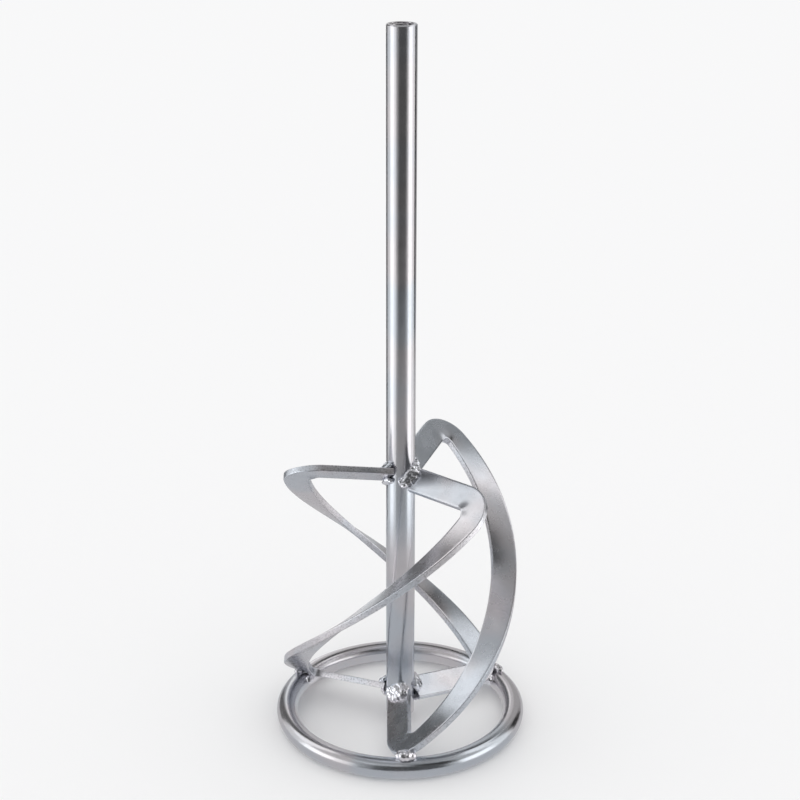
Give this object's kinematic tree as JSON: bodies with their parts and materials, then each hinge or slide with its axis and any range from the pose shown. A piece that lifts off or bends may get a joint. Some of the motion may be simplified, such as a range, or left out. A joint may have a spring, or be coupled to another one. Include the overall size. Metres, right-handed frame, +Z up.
{
  "type": "mortar mixing paddle",
  "caption": "Welded mixing paddle: a round drive shaft with flat-bar blades wound as a right-hand screw, standing on a round foot ring.",
  "frame": {"origin": "on the shaft's axis, at the height of the foot ring's underside", "axes": "+Z up the drive shaft, towards the drive end; the lower arm of blade_2 points along -Y"},
  "size_m": [0.16, 0.16, 0.446],
  "materials": {
    "zinc_bar": "bright zinc-plated flat bar, satin",
    "zinc_round": "bright zinc-plated round bar, semi-gloss",
    "zinc_weld": "zinc-plated weld metal, glossy and lumpy"
  },
  "bodies": {
    "root": {"drive_shaft": "zinc_round", "foot_ring": "zinc_round", "blade_1": "zinc_bar", "blade_2": "zinc_bar", "blade_3": "zinc_bar", "upper_weld_1_top": "zinc_weld", "upper_weld_1_under": "zinc_weld", "upper_weld_2_top": "zinc_weld", "upper_weld_2_under": "zinc_weld", "upper_weld_3_top": "zinc_weld", "upper_weld_3_under": "zinc_weld", "lower_weld_1_top": "zinc_weld", "lower_weld_1_under": "zinc_weld", "lower_weld_2_top": "zinc_weld", "lower_weld_2_under": "zinc_weld", "lower_weld_3_top": "zinc_weld", "lower_weld_3_under": "zinc_weld", "ring_weld_1_inner": "zinc_weld", "ring_weld_1_outer": "zinc_weld", "ring_weld_2_inner": "zinc_weld", "ring_weld_2_outer": "zinc_weld", "ring_weld_3_inner": "zinc_weld", "ring_weld_3_outer": "zinc_weld"}
  },
  "joints": []
}
